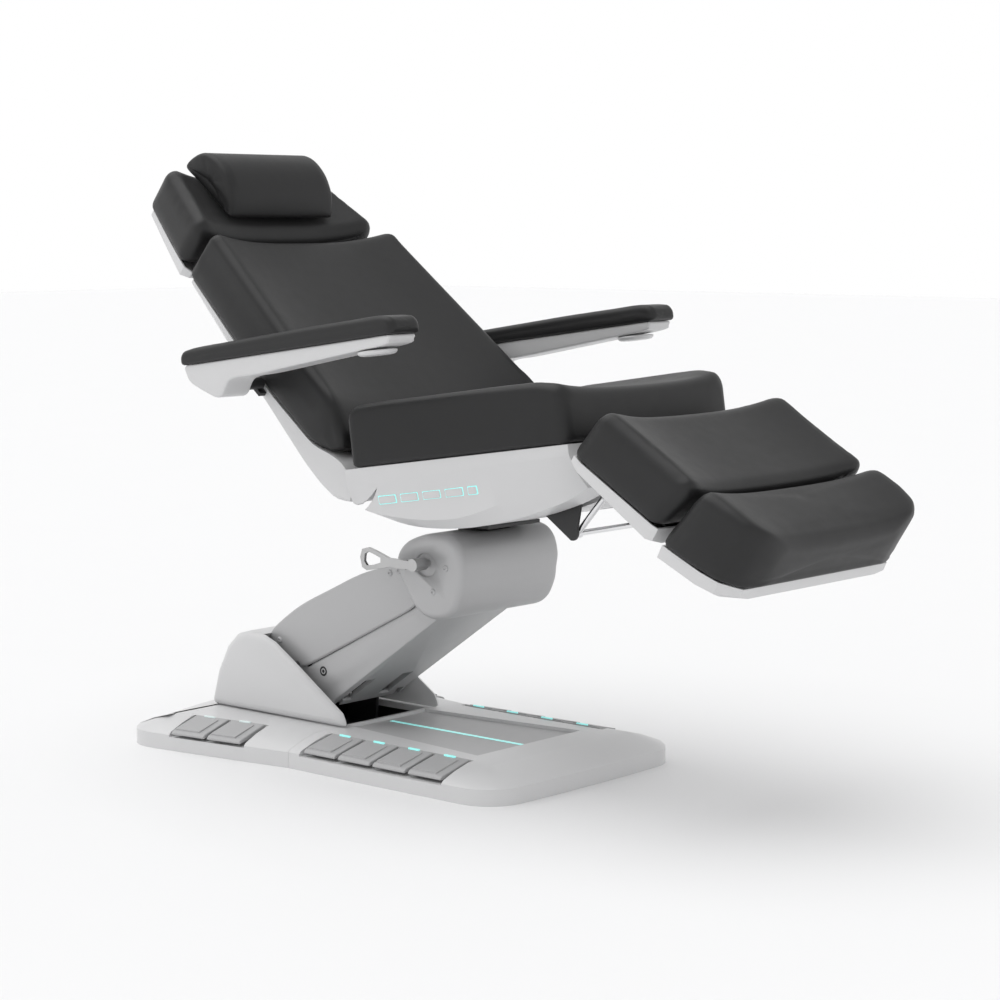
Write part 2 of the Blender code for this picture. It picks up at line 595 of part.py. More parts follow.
def seat_frame(rim):
    """Steel frame in the seat: two rails, cross bars, tilt lugs and the front bracket plates."""
    rails = [block((-0.015, s * 0.150 - 0.015, 0.030), (0.430, s * 0.150 + 0.015, 0.060)) for s in (-1, 1)]
    bars = [block((u, -0.150, 0.032), (u + 0.03, 0.150, 0.058)) for u in (-0.01, 0.20, 0.340)]
    deck = block((-0.010, -0.195, 0.058), (0.380, 0.195, 0.066))
    lug = [(-0.030, 0.035), (0.055, 0.035)] + arc((0.0, 0.0), 0.020, 20, -200, 7)
    lugs = [prism(lug, min(s * 0.084, s * 0.096), max(s * 0.084, s * 0.096)) for s in (-1, 1)]
    back_u, back_n = in_seat(BACK_PIVOT)
    leg_u, leg_n = in_seat(LEG_PIVOT)
    for s in (-1, 1):
        arm = [(0.010, 0.050), (0.010, 0.062), (-0.030, 0.085)] + arc((back_u, back_n), 0.013, 60, 230, 6)
        arm += [(-0.040, 0.060)]
        lugs.append(prism(arm, min(s * 0.080, s * 0.092), max(s * 0.080, s * 0.092)))
        front = [(0.400, 0.032), (0.470, 0.032)] + arc((leg_u, leg_n), 0.013, -80, 100, 6) + [(0.400, 0.064)]
        lugs.append(plate_at(front, s, 0.136, 0.146))
        drop = [(0.290, 0.045), (0.400, 0.045)] + arc(in_seat(BRACKET_END), 0.014, 20, -110, 5) + [(0.250, -0.012)]
        lugs.append(plate_at(drop, s, 0.1325, 0.1385))
    bores = [rod((0, -1, 0), (0, 1, 0), 0.0095), rod((back_u, -1, back_n), (back_u, 1, back_n), 0.0064),
             rod((leg_u, -1, leg_n), (leg_u, 1, leg_n), 0.0064)]
    return cut(union(deck, *rails, *bars, *lugs), *bores)


def in_seat(point):
    """World x, z in the seat's own u, n coordinates."""
    dx, dz = point[0] - TILT_PIVOT[0], point[1] - TILT_PIVOT[1]
    cos, sin = math.cos(SEAT_TILT), math.sin(SEAT_TILT)
    return dx * cos + dz * sin, dz * cos - dx * sin


def back_half(u):
    """Half width of the back, u metres below the hinge; it narrows toward the head."""
    return 0.345 + 0.092 * (u + 0.09)


def back_low(u):
    """Underside of the back cushion, which is thinner near the seat."""
    return -0.052 + 0.095 * max(0.0, u - BACK_KINK)


def strip(stops, y, half, line, thick):
    """A flat bar along X, through the stops, whose underside follows line(u)."""
    return loft([[(u, y - half, line(u)), (u, y + half, line(u)), (u, y + half, line(u) + thick),
                  (u, y - half, line(u) + thick)] for u in stops])


def build_back():
    back = axis_empty("back_axis", BACK_PIVOT[0], 0, BACK_PIVOT[1], -BACK_ANGLE)
    top = 0.080
    stations = [(-0.667, back_half(-0.667) - 0.014, back_low(-0.667) + 0.012, top - 0.016)]
    stations += [(u, back_half(u), back_low(u), top) for u in (-0.647, -0.46, BACK_KINK, -0.16, -0.105)]
    stations.append((-0.088, back_half(-0.088) - 0.006, back_low(-0.088), top - 0.022))
    stations.append((-0.030, back_half(-0.030) - 0.010, 0.002, 0.037))
    place("back_cushion", cushion(stations, 0.020, 0.022), "charcoal_leather", back)
    skin = []
    for u, trim, floor, rim in ((-0.645, 0.008, -0.073, -0.0524), (-0.40, 0.004, -0.076, -0.0524),
                                (BACK_KINK, 0.004, -0.0745, -0.0524), (-0.20, 0.004, -0.072, -0.0448),
                                (-0.088, 0.004, -0.062, -0.0342), (-0.040, 0.004, -0.052, -0.0062),
                                (0.016, 0.014, -0.034, 0.004)):
        half = back_half(u) - trim
        skin.append((u, half, half - 0.045, floor, rim))
    shell = tray(skin, 0.005, 0.005)
    knuckle_way = block((-0.050, -0.112, -1), (1, 0.112, 1))
    head_way = block((-1, -0.085, -1), (-0.565, 0.085, 1))
    boss_u, boss_n = in_back(ARM_PIVOT)
    low, high = STUB_LEVELS
    stub_ways = [block((boss_u - 0.0206, s * 0.35 - 0.15, low - 0.0006),
                       (boss_u + 0.0206, s * 0.35 + 0.15, high + 0.0006)) for s in (-1, 1)]
    place("back_shell", cut(shell, knuckle_way, head_way, *stub_ways), "white_plastic", back)
    place("back_frame", back_frame(), "black_steel", back)


def in_back(point):
    """World x, z in the back's own u, n coordinates."""
    dx, dz = point[0] - BACK_PIVOT[0], point[1] - BACK_PIVOT[1]
    cos, sin = math.cos(BACK_ANGLE), math.sin(BACK_ANGLE)
    return dx * cos - dz * sin, dx * sin + dz * cos


def back_frame():
    """Steel ladder in the back shell, with the hinge knuckles and the arm stubs."""
    def line(u):
        return back_low(u) - 0.0155
    def bar_line(u):
        return line(u) + 0.0006
    pieces = [strip((-0.595, BACK_KINK, -0.044), s * 0.19, 0.014, line, 0.010) for s in (-1, 1)]
    pieces += [strip((u, u + 0.028), 0, 0.188, bar_line, 0.0087) for u in (-0.590, -0.42, -0.075)]
    boss_u, boss_n = in_back(ARM_PIVOT)
    for s in (-1, 1):
        knuckle = [(-0.070, -0.046), (-0.070, -0.038)] + arc((0, 0), 0.012, 165, -90, 6)
        pieces.append(prism(knuckle, min(s * 0.094, s * 0.104), max(s * 0.094, s * 0.104)))
        pieces.append(rod((0, s * 0.079, 0), (0, s * 0.100, 0), 0.006))
        tip_u, tip_n = in_back(HEAD_PIVOT)
        ear = [(-0.570, -0.058), (-0.570, -0.067)] + arc((tip_u, tip_n), 0.009, 270, 90, 6)
        pieces.append(prism(ear, min(s * 0.050, s * 0.060), max(s * 0.050, s * 0.060)))
        pieces.append(rod((tip_u, s * 0.055, tip_n), (tip_u, s * 0.074, tip_n), 0.005))
        pieces.append(block((boss_u - 0.020, s * 0.261 - 0.081, STUB_LEVELS[0]),
                            (boss_u + 0.020, s * 0.261 + 0.081, STUB_LEVELS[1])))
        pieces.append(rod((boss_u, s * 0.332, boss_n), (boss_u, s * (ARM_Y - 0.032), boss_n), 0.013))
    return union(*pieces)


def build_headrest():
    head = axis_empty("headrest_axis", HEAD_PIVOT[0], 0, HEAD_PIVOT[1], -HEAD_ANGLE)
    low, high = 0.014, 0.134

    def half(u):
        return 0.292 + 0.245 * u
    stations = [(-0.262, half(-0.262) - 0.016, low + 0.020, high - 0.020)]
    stations += [(u, half(u), low, high) for u in (-0.242, -0.13, -0.07)]
    stations.append((-0.046, half(-0.046) - 0.004, low + 0.004, high))
    stations.append((-0.028, half(-0.028) - 0.020, low + 0.024, high - 0.020))
    place("headrest_cushion", cushion(stations, 0.022, 0.026), "charcoal_leather", head)
    skin = [(-0.236, half(-0.236) - 0.010, half(-0.236) - 0.060, low - 0.018, low - GAP),
            (-0.12, half(-0.12) - 0.006, half(-0.12) - 0.060, low - 0.024, low - GAP),
            (-0.030, half(-0.030) - 0.006, half(-0.030) - 0.060, low - 0.030, low - GAP),
            (-0.008, half(-0.008) - 0.020, half(-0.008) - 0.070, low - 0.020, low - GAP)]
    shell = tray(skin, 0.005, 0.005)
    way = block((-0.040, -0.090, -1), (1, 0.090, 1))
    shell = cut(shell, way)
    lugs = []
    for s in (-1, 1):
        lug = [(-0.060, -0.008), (-0.060, 0.000)] + arc((0, 0), 0.009, 80, -90, 5)
        bar = cut(prism(lug, min(s * 0.062, s * 0.070), max(s * 0.062, s * 0.070)),
                  rod((0, -1, 0), (0, 1, 0), 0.0054))
        lugs.append(bar)
    plate = block((-0.075, -0.080, -0.010), (-0.045, 0.080, 0.000))
    place("headrest_shell", union(shell, plate, *lugs), "white_plastic", head)
    bow = arc((0, 0), 1.0, 8, 172, 8)
    chord, rise, base = 0.094, 0.068, high - 0.0185
    centre = -0.167
    section = [(centre - chord * x, base + 0.006 + rise * z) for x, z in bow]
    section = [(centre - chord * 0.93, base)] + section + [(centre + chord * 0.93, base)]
    place("neck_pillow", bevelled(prism(section, -0.160, 0.160), 0.008, 2, min_angle=70), "charcoal_leather",
          head)


def build_arm(side, word):
    arm = axis_empty(f"arm_{word}_axis", ARM_PIVOT[0], side * ARM_Y, ARM_PIVOT[1], ARM_TILT)
    under = [(0.515, 0.043), (0.507, 0.033), (0.381, 0.027), (0.124, 0.013), (0.062, 0.0145), (0.033, 0.009),
             (0.023, -0.005), (0.015, -0.019), (-0.003, -0.024), (-0.030, -0.012), (-0.079, 0.015),
             (-0.091, 0.0529)]
    outline = under + [(0.519, 0.0529)]
    body = bevelled(prism(outline, -ARM_HALF + 0.005, ARM_HALF - 0.005), 0.006, 2, min_angle=75)
    inner = -side * 0.039
    socket = rod((0, inner - 0.02, 0), (0, inner + 0.02, 0), 0.0134)
    place(f"arm_{word}", cut(body, socket), "white_plastic", arm)
    stations = [(-0.108, ARM_HALF - 0.008, 0.0591, 0.0751), (-0.099, ARM_HALF, 0.0533, 0.0831)]
    stations += [(u, ARM_HALF + 0.002, 0.0533, n) for u, n in ((-0.033, 0.0881), (0.277, 0.0931), (0.492, 0.0931))]
    stations += [(0.520, ARM_HALF - 0.002, 0.0533, 0.0851), (0.533, ARM_HALF - 0.014, 0.0571, 0.0711)]
    place(f"arm_pad_{word}", cushion(stations, 0.012, 0.0), "charcoal_leather", arm)
    knob = axis_empty(f"arm_knob_{word}_axis", 0, 0, 0)
    knob.matrix_world = arm.matrix_world @ Matrix.Translation((0.445, 0, 0.0175))
    disc = rod((0, 0, 0.0), (0, 0, 0.0100), 0.030, 0.041, 28)
    place(f"arm_knob_{word}", disc, "white_plastic", knob)


def lean(mesh, rear, front, low, length):
    """Slant the ends of a cushion: metres along X per metre up, from the rear end to the front end."""
    for vert in mesh.vertices:
        share = min(1.0, max(0.0, vert.co.x / length))
        vert.co.x += (rear + (front - rear) * share) * (vert.co.z - low)
    return mesh


def build_leg():
    leg = axis_empty("leg_axis", LEG_PIVOT[0], 0, LEG_PIVOT[1], -LEG_ANGLE)
    low, high, half = 0.031, 0.158, 0.303
    stations = [(-0.014, half - 0.014, low + 0.014, high - 0.020)]
    stations += [(u, half, low, high) for u in (0.008, 0.12, 0.220)]
    stations.append((0.239, half - 0.014, low + 0.012, high - 0.020))
    place("calf_cushion", lean(cushion(stations, 0.022, 0.024), 0.17, 0.285, low, 0.239), "charcoal_leather", leg)
    skin = [(-0.006, half - 0.010, half - 0.040, 0.012, low - GAP), (0.020, half - 0.004, half - 0.040, 0.003,
                                                                   low - GAP),
            (0.226, half - 0.004, half - 0.040, -0.012, low - GAP), (0.240, half - 0.008, half - 0.044, -0.006,
                                                                   low - GAP)]
    shell = tray(skin, 0.004, 0.003)
    ways = [block((-1, s * 0.1425 - 0.0425, -1), (0.090, s * 0.1425 + 0.0425, 1)) for s in (-1, 1)]
    ways += [block((0.2, s * 0.215 - 0.0065, -0.0005), (0.4, s * 0.215 + 0.0065, 0.0125)) for s in (-1, 1)]
    place("calf_shell", cut(shell, *ways), "white_plastic", leg)
    pieces = [block((0.010, -0.185, 0.0165), (0.110, 0.185, 0.0245))]
    for s in (-1, 1):
        lug = [(0.060, 0.018), (0.012, 0.024)] + arc((0, 0), 0.012, 130, 310, 6)
        pieces.append(prism(lug, min(s * 0.150, s * 0.160), max(s * 0.150, s * 0.160)))
        pieces.append(rod((0, s * 0.134, 0), (0, s * 0.155, 0), 0.006))
        heel = [(0.018, 0.020), (0.070, 0.020)] + arc(STRUT_POINT, 0.012, 20, -190, 6)
        pieces.append(plate_at(heel, s, 0.104, 0.111))
        pieces.append(rod((STRUT_POINT[0], s * 0.106, STRUT_POINT[1]), (STRUT_POINT[0], s * 0.129, STRUT_POINT[1]),
                          0.005))
    place("calf_frame", union(*pieces), "black_steel", leg)
    strut = axis_empty("leg_strut_axis")
    strut.matrix_world = leg.matrix_world @ Matrix.Translation((STRUT_POINT[0], 0, STRUT_POINT[1]))
    top = strut.matrix_world.translation
    low_x, low_z = BRACKET_END
    pieces = [rod((low_x, -0.131, low_z), (low_x, 0.131, low_z), 0.006)]
    for y in (-STRUT_Y, STRUT_Y):
        pieces.append(rod((top.x, y, top.z), (low_x, y, low_z), 0.0065))
        pieces.append(rod((top.x, y - 0.0065, top.z), (top.x, y + 0.0065, top.z), 0.010))
        pieces.append(rod((low_x, y - 0.0065, low_z), (low_x, y + 0.0065, low_z), 0.010))
    bar = cut(union(*pieces), rod((top.x, -1, top.z), (top.x, 1, top.z), 0.0054))
    place("leg_strut", bar, "chrome", strut, True)


def build_foot():
    foot = axis_empty("foot_axis", FOOT_CORNER[0], 0, FOOT_CORNER[1], -FOOT_ANGLE)
    half = 0.305
    low = -0.008
    stations = [(0.0, half - 0.014, 0.006, 0.112), (0.012, half - 0.004, low + 0.002, 0.134),
                (0.030, half, low, 0.142), (0.090, half - 0.001, low, 0.139), (0.150, half - 0.010, low, 0.131),
                (0.180, half - 0.043, low + 0.002, 0.118), (0.196, half - 0.085, low + 0.016, 0.096)]
    place("foot_cushion", lean(cushion(stations, 0.022, 0.024), 0.30, 0.10, low, 0.196), "charcoal_leather", foot)
    skin = [(0.010, half - 0.008, half - 0.030, -0.044, low - GAP), (0.110, half - 0.008, half - 0.030, -0.044,
                                                                    low - GAP),
            (0.150, half - 0.018, half - 0.042, -0.042, low - GAP), (0.184, half - 0.056, half - 0.085, -0.032,
                                                                    low - GAP)]
    shell = tray(skin, 0.004, 0.004)
    to_leg = foot.matrix_world.inverted() @ Matrix.Translation((LEG_PIVOT[0], 0, LEG_PIVOT[1])) \
        @ Matrix.Rotation(LEG_ANGLE, 4, "Y")
    ends = [(to_leg @ Vector((0.105, s * 0.215, 0.006)), to_leg @ Vector((0.362, s * 0.215, 0.006)))
            for s in (-1, 1)]
    ways = [rod(a, b + (a - b) * 0.2, 0.0065) for a, b in ends]
    place("foot_shell", cut(shell, *ways), "white_plastic", foot)
    rails = [rod(a, b, 0.005) for a, b in ends]
    cross = block((0.085, -0.225, -0.0300), (0.105, 0.225, -0.0125))
    place("foot_slide", union(cross, *rails), "satin_steel", foot)


def build():
    for obj in list(bpy.data.objects):
        bpy.data.objects.remove(obj, do_unlink=True)
    build_base()
    build_lift()
    build_seat()
    build_back()
    build_headrest()
    for side, word in ((-1, "near"), (1, "far")):
        build_arm(side, word)
    build_leg()
    build_foot()


build()
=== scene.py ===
"""Looks of the facial treatment bed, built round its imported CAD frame.

Metres, +X to the foot end, +Z up, in the frame's own axes. Cushions are lofted in the local axes of their
joint (u along the surface toward the foot, y across, n away from it) and puffed out by a short cloth run.
The hard parts whose outside is smoother than their CAD solid are built again here; the other nodes keep
their CAD shape and are only shaded.
"""
import json
import math

import bmesh
import bpy
import numpy as np
from mathutils import Matrix, Vector


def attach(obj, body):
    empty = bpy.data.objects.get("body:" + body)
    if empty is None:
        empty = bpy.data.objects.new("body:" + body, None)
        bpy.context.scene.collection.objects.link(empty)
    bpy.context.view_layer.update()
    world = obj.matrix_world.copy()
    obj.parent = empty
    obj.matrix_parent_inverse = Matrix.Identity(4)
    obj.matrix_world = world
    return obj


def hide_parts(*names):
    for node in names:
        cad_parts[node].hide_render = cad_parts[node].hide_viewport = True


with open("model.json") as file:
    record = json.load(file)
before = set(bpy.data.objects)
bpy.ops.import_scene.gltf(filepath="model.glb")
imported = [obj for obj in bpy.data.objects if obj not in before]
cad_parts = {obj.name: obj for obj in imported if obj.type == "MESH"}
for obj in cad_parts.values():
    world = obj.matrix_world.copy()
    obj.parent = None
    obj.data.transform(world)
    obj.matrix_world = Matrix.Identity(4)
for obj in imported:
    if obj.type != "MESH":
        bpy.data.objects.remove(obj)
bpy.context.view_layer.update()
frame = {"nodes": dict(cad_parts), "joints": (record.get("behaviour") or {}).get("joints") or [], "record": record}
NODES = frame["nodes"]
JOINTS = {joint["name"]: joint for joint in frame["joints"]}

# Angles of the surfaces above the horizontal, in degrees; a fall toward the foot end is negative
SEAT_ANGLE = 8.5
BACK_ANGLE = -40.2
HEAD_ANGLE = -38.0
LEG_ANGLE = -31.5
FOOT_ANGLE = -26.0
ARM_ANGLE = 8.0
FOOT_CORNER = (0.962, 0.590)
ARM_Y = 0.422                    # |y| of the middle of each arm
ARM_BODY_HALF = 0.039
ARM_PAD_HALF = 0.044
HEAD_HALF = 0.165                # half width of the column head
LEVER_HUB = (0.230, 0.462)       # x, z of the lock lever's shaft
HOOD_HALF = 0.1267               # outer half width of the upper link
HOOD_INNER = 0.121
KNOB_PLACE = (0.445, 0, 0.0175)  # in the arm's own u, y, n
BUTTON_COUNT = 5
BUTTON_PITCH = 0.054
SEAT_TAPER = 0.178               # half width that the seat loses per metre toward the foot
FACET_LEAN = 0.163               # how far the facet with the buttons turns under, per metre down
SEAT_RIM = 0.1009
SWING_RADIUS = 0.112             # room for the back's tail, round the hinge of the back
SWING_HALF = 0.350
FLARE = math.radians(8.2)        # the rear pedals against the X axis

CLOTH_FRAMES = 20
CLOTH_PRESSURE = 4.0
HELD_SLOPE = 0.6                 # faces that look down more than this are held

CAMERA_PLACE = Vector((3.80064, -4.00942, 1.19146))
CAMERA_BACK = Vector((0.6537, -0.7484, 0.1123))
CAMERA_LENS = 88.88

CHARCOAL = (0.015, 0.015, 0.0155)
WHITE = (0.64, 0.64, 0.645)
SILVER = (0.46, 0.46, 0.465)
PEDAL_GREY = (0.42, 0.42, 0.425)
PANEL_GREY = (0.50, 0.50, 0.505)
BLACK = (0.018, 0.018, 0.019)
TEAL = (0.30, 0.78, 0.75)


# ---------------------------------------------------------------- materials

class Shader:
    """A Principled material and the few node helpers that every finish uses."""

    def __init__(self, name, colour, roughness, metallic=0.0):
        self.material = bpy.data.materials.new(name)
        self.material.use_nodes = True
        self.tree = self.material.node_tree
        self.out = self.tree.nodes["Principled BSDF"]
        self.set(Roughness=roughness, Metallic=metallic)
        self.out.inputs["Base Color"].default_value = (*colour, 1.0)
        self.colour = colour
        self.place = self.node("TexCoord").outputs["Object"]

    def set(self, **values):
        for key, value in values.items():
            self.out.inputs[key.replace("_", " ")].default_value = value

    def node(self, kind, inputs=None, **settings):
        made = self.tree.nodes.new("ShaderNode" + kind)
        for key, value in settings.items():
            setattr(made, key, value)
        for key, value in (inputs or {}).items():
            if isinstance(value, bpy.types.NodeSocket):
                self.tree.links.new(value, made.inputs[key])
            else:
                made.inputs[key].default_value = value
        return made

    def stretched(self, scale):
        return self.node("Mapping", {"Vector": self.place, "Scale": scale}).outputs["Vector"]

    def noise(self, scale, detail=4.0, vector=None):
        inputs = {"Vector": vector or self.place, "Scale": scale, "Detail": detail}
        return self.node("TexNoise", inputs).outputs["Fac"]

    def ramp(self, value, low, high):
        """A 0-1 value taken to the range low..high."""
        return self.node("MapRange", {"Value": value, "To Min": low, "To Max": high}).outputs["Result"]

    def vary_colour(self, value, spread):
        """Base colour a little darker and lighter round its mean."""
        shades = [[min(1.0, c * share) for c in self.colour] + [1.0] for share in (1 - spread, 1 + spread)]
        mix = self.node("MixRGB", {"Fac": value, "Color1": shades[0], "Color2": shades[1]})
        self.tree.links.new(mix.outputs["Color"], self.out.inputs["Base Color"])

    def vary_roughness(self, value, low, high):
        self.tree.links.new(self.ramp(value, low, high), self.out.inputs["Roughness"])

    def relief(self, height, strength, distance, edge=0.0):
        """Bump from a height, on top of edges rounded by that radius."""
        inputs = {"Height": height, "Strength": strength, "Distance": distance}
        if edge:
            inputs["Normal"] = self.node("Bevel", {"Radius": edge}, samples=4).outputs["Normal"]
        bump = self.node("Bump", inputs)
        self.tree.links.new(bump.outputs["Normal"], self.out.inputs["Normal"])


def leather():
    """Smooth leatherette: fine irregular grain, slightly uneven gloss."""
    s = Shader("charcoal_leather", CHARCOAL, 0.46)
    s.set(Sheen_Weight=0.03, Sheen_Roughness=0.4, Specular_IOR_Level=0.36)
    cells = s.node("TexVoronoi", {"Vector": s.place, "Scale": 620.0}, feature="DISTANCE_TO_EDGE")
    pores = s.ramp(s.noise(1500.0, 2.0), 0.0, 0.25)
    deep = s.node("Math", {0: cells.outputs["Distance"], 1: 2.2}, operation="MULTIPLY")
    height = s.node("Math", {0: deep.outputs[0], 1: pores}, operation="ADD")
    s.relief(height.outputs[0], 0.16, 0.0003)
    s.vary_colour(s.noise(9.0, 6.0), 0.07)
    s.vary_roughness(s.noise(35.0, 5.0), 0.41, 0.51)
    return s.material


def plastic(name, colour, roughness, edge=0.0014, grain=0.05):
    """Moulded plastic with a fine spark-eroded texture and faint clouding."""
    s = Shader(name, colour, roughness)
    s.set(Specular_IOR_Level=0.45)
    s.relief(s.noise(1800.0, 3.0), grain, 0.0002, edge)
    s.vary_colour(s.noise(3.5, 5.0), 0.018)
    s.vary_roughness(s.noise(60.0, 5.0), roughness - 0.04, roughness + 0.05)
    return s.material


def painted(name, colour, roughness, metallic, edge=0.0014):
    """Painted metal: metallic flake, orange peel and slightly rounded edges."""
    s = Shader(name, colour, roughness, metallic)
    s.relief(s.noise(260.0, 3.0), 0.07, 0.0003, edge)
    s.vary_colour(s.noise(2400.0, 1.0), 0.05)
    s.vary_roughness(s.noise(22.0, 6.0), roughness - 0.05, roughness + 0.06)
    return s.material


def brushed(name, colour, roughness, edge=0.0006):
    """Bare metal with a fine drawn grain."""
    s = Shader(name, colour, roughness, 1.0)
    s.relief(s.noise(1.0, 3.0, s.stretched((90.0, 2600.0, 2600.0))), 0.08, 0.0002, edge)
    s.vary_colour(s.noise(18.0, 5.0), 0.05)
    s.vary_roughness(s.noise(70.0, 5.0), max(0.03, roughness - 0.05), roughness + 0.07)
    return s.material


def glowing(name, colour, strength):
    """A lit light guide, a touch uneven along its length."""
    s = Shader(name, colour, 0.3)
    s.out.inputs["Emission Color"].default_value = (*colour, 1.0)
    s.set(Emission_Strength=strength)
    s.relief(s.noise(900.0, 2.0), 0.04, 0.0002)
    s.vary_colour(s.noise(30.0, 3.0), 0.05)
    return s.material


FINISH = {
    "charcoal_leather": leather(),
    "white_plastic": plastic("white_plastic", WHITE, 0.36),
    "grey_plastic": plastic("grey_plastic", PEDAL_GREY, 0.46, 0.0010, 0.12),
    "panel_grey": plastic("panel_grey", PANEL_GREY, 0.45),
    "grey_metallic": painted("grey_metallic", SILVER, 0.42, 0.25),
    "black_steel": painted("black_steel", BLACK, 0.42, 0.0),
    "chrome": brushed("chrome", (0.78, 0.78, 0.79), 0.10),
    "satin_steel": brushed("satin_steel", (0.50, 0.50, 0.50), 0.32),
    "light_lens": glowing("light_lens", TEAL, 0.55),
    "pale_lens": glowing("pale_lens", (0.72, 0.82, 0.81), 0.15),
}


# ---------------------------------------------------------------- mesh helpers

def local_axes(x, z, angle, y=0.0):
    """Matrix from u, y, n to the frame, for a surface at an angle above the horizontal."""
    return Matrix.Translation((x, y, z)) @ Matrix.Rotation(-math.radians(angle), 4, "Y")


def joint_axes(joint, angle):
    """The same, with its origin on a joint."""
    x, y, z = JOINTS[joint]["pos_m"]
    return local_axes(x, z, angle, y)


def piece(name, mesh, axes, body, finish, replaced=()):
    """An object of the mesh, taken to the frame's axes, riding on a body."""
    mesh.transform(axes)
    mesh.materials.clear()
    mesh.materials.append(FINISH[finish])
    if not mesh.attributes.get("sharp_edge"):
        mesh.shade_smooth()
    obj = bpy.data.objects.new(name, mesh)
    bpy.context.scene.collection.objects.link(obj)
    if replaced:
        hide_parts(*replaced)
    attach(obj, body)
    return obj


def skin(rings, caps=True):
    """A closed surface through rings of equal length; with caps, each end is filled by shrinking rings."""
    rings = [np.array(ring, float) for ring in rings]
    if caps:
        fills = []
        for end in (rings[0], rings[-1]):
            middle = end.mean(axis=0)
            fills.append([middle + (end - middle) * scale for scale in (0.82, 0.6, 0.36, 0.12)])
        rings = fills[0][::-1] + rings + fills[1]
    bm = bmesh.new()
    layers = [[bm.verts.new(point) for point in ring] for ring in rings]
    count = len(layers[0])
    for low, high in zip(layers, layers[1:]):
        for i in range(count):
            j = (i + 1) % count
            bm.faces.new((low[i], low[j], high[j], high[i]))
    bm.faces.new(layers[0][::-1])
    bm.faces.new(layers[-1])
    bmesh.ops.recalc_face_normals(bm, faces=bm.faces)
    return new_mesh(bm)


def new_mesh(bm):
    """The bmesh as a new mesh."""
    mesh = bpy.data.meshes.new("shape")
    bm.to_mesh(mesh)
    bm.free()
    return mesh


def corner(centre_y, centre_n, radius, start, end, steps):
    """Points of an arc, angles in degrees."""
    angles = np.radians(np.linspace(start, end, steps))
    return [(centre_y + radius * math.cos(a), centre_n + radius * math.sin(a)) for a in angles]


def pad_section(u, half, low, high, dip, round_top, round_low, power):
    """Closed outline of a cushion across its width: flat below, round edges, hollow between raised sides."""
    height = high - low
    top_r, low_r = min(round_top, 0.48 * height), min(round_low, 0.4 * height)
    right = [(s * (half - low_r), low) for s in np.linspace(0.0, 1.0, 9)[:-1]]
    right += corner(half - low_r, low + low_r, low_r, -90, 0, 5)
    right += [(half, low + low_r + s * (height - low_r - top_r)) for s in np.linspace(0, 1, 7)[1:-1]]
    right += corner(half - top_r, high - top_r, top_r, 0, 78, 7)
    right += [(s * (half - top_r), high) for s in np.linspace(0.97, 0.0, 15)]
    lowered = []
    for y, n in right:
        share = max(0.0, 1 - (y / half) ** power) if n > low + 0.5 * height else 0.0
        lowered.append((y, n - dip * share))
    left = [(-y, n) for y, n in lowered[1:-1][::-1]]
    return [(u, y, n) for y, n in lowered + left]


def settle(values, rounds):
    """Smooth along a run of stations, holding both ends."""
    for _ in range(rounds):
        values[1:-1] = 0.25 * values[:-2] + 0.5 * values[1:-1] + 0.25 * values[2:]
    return values


def pad(stations, round_top=0.026, round_low=0.012, round_end=0.022, power=3.0, step=0.010, rounds=10):
    """A cushion through stations of (u, half width, low, high, dip), with rounded ends."""
    table = np.array(stations, float)
    start, end = table[0, 0], table[-1, 0]
    edge = round_end * (1 - np.cos(np.linspace(0, math.pi / 2, 7)))
    middle = np.linspace(start + round_end, end - round_end, max(4, int((end - start) / step)))
    places = np.concatenate([start + edge[:-1], middle, (end - edge[:-1])[::-1]])
    columns = [settle(np.interp(places, table[:, 0], table[:, k]), rounds) for k in range(1, 5)]
    rings = []
    for u, half, low, high, dip in zip(places, *columns):
        reach = min(u - start, end - u, round_end)
        inset = round_end - math.sqrt(max(0.0, round_end ** 2 - (round_end - reach) ** 2))
        rings.append(pad_section(u, half - inset, low + 0.6 * inset, high - inset, dip, round_top, round_low,
                                 power))
    return skin(rings)


def resample(points, spacing):
    """Even points along a closed smooth curve through the given ones."""
    control = np.array(points, float)
    count = len(control)
    fine = []
    for i in range(count):
        a, b, c, d = (control[(i + k) % count] for k in (-1, 0, 1, 2))
        for t in np.linspace(0, 1, 12, endpoint=False):
            fine.append(0.5 * (2 * b + (c - a) * t + (2 * a - 5 * b + 4 * c - d) * t * t
                               + (3 * b - a - 3 * c + d) * t ** 3))
    fine = np.array(fine + [fine[0]])
    walk = np.concatenate([[0], np.cumsum(np.linalg.norm(np.diff(fine, axis=0), axis=1))])
    marks = np.linspace(0, walk[-1], max(8, int(walk[-1] / spacing)), endpoint=False)
    return np.column_stack([np.interp(marks, walk, fine[:, k]) for k in range(2)])


def outward(outline):
    """Unit normals of a closed outline, pointing out of it."""
    ahead = np.roll(outline, -1, axis=0) - np.roll(outline, 1, axis=0)
    area = np.sum(outline[:, 0] * np.roll(outline[:, 1], -1) - np.roll(outline[:, 0], -1) * outline[:, 1])
    normals = np.column_stack([ahead[:, 1], -ahead[:, 0]]) * math.copysign(1.0, area)
    return normals / np.linalg.norm(normals, axis=1)[:, None]


def rounded_prism(outline, low_y, high_y, radius, steps=5, rows=12, caps=False):
    """An x, z outline extruded along Y, its two rims rounded by a radius."""
    normals = outward(outline)
    turns = np.linspace(0, math.pi / 2, steps)
    rim = [(radius * (1 - math.sin(a)), radius * (1 - math.cos(a))) for a in turns]
    stops = [(low_y + depth, inset) for depth, inset in rim[::-1]]
    stops += [(y, 0.0) for y in np.linspace(low_y + radius, high_y - radius, rows)[1:-1]]
    stops += [(high_y - depth, inset) for depth, inset in rim]
    rings = [[(x, y, z) for x, z in outline - normals * inset] for y, inset in stops]
    return skin(rings, caps)


